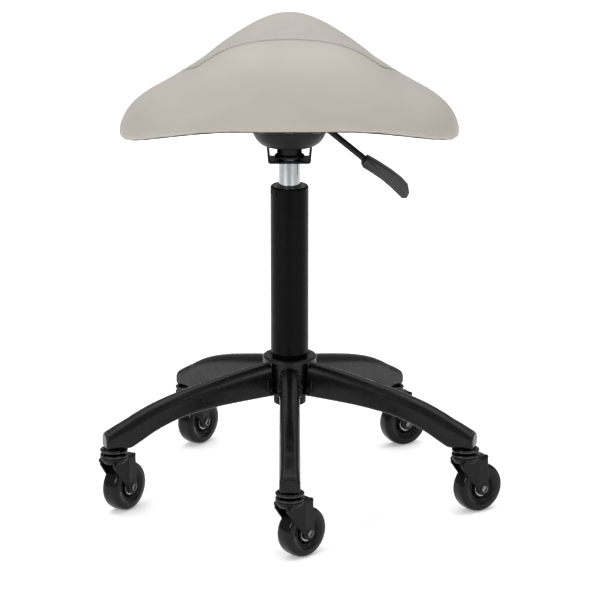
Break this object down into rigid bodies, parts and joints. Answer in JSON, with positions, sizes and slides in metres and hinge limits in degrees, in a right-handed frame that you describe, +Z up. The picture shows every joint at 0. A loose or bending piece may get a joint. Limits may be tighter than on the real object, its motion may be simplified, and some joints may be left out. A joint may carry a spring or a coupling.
{
  "type": "dentist stool",
  "caption": "Saddle-seat stool on a five-leg caster base, with a gas lift, a height lever and free-turning twin-bearing caster wheels.",
  "frame": {"origin": "on the floor under the column's axis, with the gas lift at its lowest", "axes": "+X is the sitter's right, where the height lever is; +Y is where the sitter faces, towards the pommel; +Z is up along the column"},
  "size_m": [0.5288, 0.5042, 0.6309],
  "materials": {
    "leather": "matte, fine grain, light taupe",
    "foam": "moulded foam",
    "plywood": "raw birch plywood",
    "dust_cloth": "black non-woven cloth",
    "zinc_steel": "zinc plated",
    "mechanism_black": "satin black powder coat",
    "lever_black": "satin black",
    "grip_plastic": "fine textured dark grey",
    "chrome": "polished",
    "bush_plastic": "acetal black",
    "rubber": "matte",
    "frame_black": "satin black powder coat",
    "fork_black": "semi-gloss black",
    "axle_steel": "black oxide",
    "tyre": "glossy polyurethane",
    "core_plastic": "moulded nylon",
    "bearing_steel": "ground steel"
  },
  "bodies": {
    "base": {"outer_tube": "frame_black", "guide_bush": "bush_plastic", "thrust_bearing": "zinc_steel", "hub_collar": "frame_black", "hub_socket": "frame_black", "leg_1": "frame_black", "leg_2": "frame_black", "leg_3": "frame_black", "leg_4": "frame_black", "leg_5": "frame_black", "stem_sockets": "frame_black", "caster_stems": "zinc_steel"},
    "lift_rod": {"piston_rod": "chrome", "piston": "zinc_steel", "bump_stop": "rubber", "retaining_clip": "zinc_steel"},
    "seat": {"seat_cover": "leather", "foam_pad": "foam", "seat_board": "plywood", "dust_cover": "dust_cloth", "staples": "zinc_steel", "t_nuts": "zinc_steel", "seat_bolts": "zinc_steel", "seat_washers": "zinc_steel", "dish_plate": "mechanism_black", "u_bracket": "mechanism_black", "taper_socket": "mechanism_black", "lever_lugs": "mechanism_black", "pivot_pin": "zinc_steel", "pressure_tube": "chrome", "rod_gland": "bush_plastic"},
    "lever": {"lever_rod": "lever_black", "lever_grip": "grip_plastic"},
    "valve_pin": {"release_pin": "zinc_steel"},
    "caster_1": {"fork_1": "fork_black", "axle_1": "axle_steel"},
    "wheel_1": {"tyre_1": "tyre", "wheel_core_1": "core_plastic", "bearings_1": "bearing_steel"},
    "caster_2": {"fork_2": "fork_black", "axle_2": "axle_steel"},
    "wheel_2": {"tyre_2": "tyre", "wheel_core_2": "core_plastic", "bearings_2": "bearing_steel"},
    "caster_3": {"fork_3": "fork_black", "axle_3": "axle_steel"},
    "wheel_3": {"tyre_3": "tyre", "wheel_core_3": "core_plastic", "bearings_3": "bearing_steel"},
    "caster_4": {"fork_4": "fork_black", "axle_4": "axle_steel"},
    "wheel_4": {"tyre_4": "tyre", "wheel_core_4": "core_plastic", "bearings_4": "bearing_steel"},
    "caster_5": {"fork_5": "fork_black", "axle_5": "axle_steel"},
    "wheel_5": {"tyre_5": "tyre", "wheel_core_5": "core_plastic", "bearings_5": "bearing_steel"}
  },
  "joints": [
    {"name": "seat_swivel", "type": "hinge", "parent": "base", "child": "lift_rod", "pos_m": [0, 0, 0.3], "axis": [0, 0, 1], "continuous": true},
    {"name": "seat_lift", "type": "slide", "parent": "lift_rod", "child": "seat", "axis": [0, 0, 1], "range_m": [0, 0.19]},
    {"name": "height_lever", "type": "hinge", "parent": "seat", "child": "lever", "pos_m": [0.036, 0, 0.5105], "axis": [0, -1, 0], "range_deg": [0, 6], "stiffness_Nm_per_rad": 8, "springref_deg": -5.73},
    {"name": "valve_press", "type": "slide", "parent": "seat", "child": "valve_pin", "axis": [0, 0, -1], "range_m": [0, 0.0042]},
    {"name": "caster_swivel_1", "type": "hinge", "parent": "base", "child": "caster_1", "pos_m": [0, -0.242, 0.08], "axis": [0, 0, 1], "continuous": true},
    {"name": "wheel_spin_1", "type": "hinge", "parent": "caster_1", "child": "wheel_1", "pos_m": [0.01463, -0.22836, 0.033], "axis": [-0.682, 0.7314, 0], "continuous": true},
    {"name": "caster_swivel_2", "type": "hinge", "parent": "base", "child": "caster_2", "pos_m": [0.23016, -0.07478, 0.08], "axis": [0, 0, 1], "continuous": true},
    {"name": "wheel_spin_2", "type": "hinge", "parent": "caster_2", "child": "wheel_2", "pos_m": [0.24693, -0.06389, 0.033], "axis": [-0.5446, 0.8387, 0], "continuous": true},
    {"name": "caster_swivel_3", "type": "hinge", "parent": "base", "child": "caster_3", "pos_m": [0.14224, 0.19578, 0.08], "axis": [0, 0, 1], "continuous": true},
    {"name": "wheel_spin_3", "type": "hinge", "parent": "caster_3", "child": "wheel_3", "pos_m": [0.1599, 0.20517, 0.033], "axis": [-0.4695, 0.8829, 0], "continuous": true},
    {"name": "caster_swivel_4", "type": "hinge", "parent": "base", "child": "caster_4", "pos_m": [-0.14224, 0.19578, 0.08], "axis": [0, 0, 1], "continuous": true},
    {"name": "wheel_spin_4", "type": "hinge", "parent": "caster_4", "child": "wheel_4", "pos_m": [-0.12966, 0.21133, 0.033], "axis": [-0.7771, 0.6293, 0], "continuous": true},
    {"name": "caster_swivel_5", "type": "hinge", "parent": "base", "child": "caster_5", "pos_m": [-0.23016, -0.07478, 0.08], "axis": [0, 0, 1], "continuous": true},
    {"name": "wheel_spin_5", "type": "hinge", "parent": "caster_5", "child": "wheel_5", "pos_m": [-0.21868, -0.0584, 0.033], "axis": [-0.8192, 0.5736, 0], "continuous": true}
  ],
  "couplings": [
    {"joint": "valve_press", "follows": "height_lever", "m_per_rad": 0.038}
  ]
}
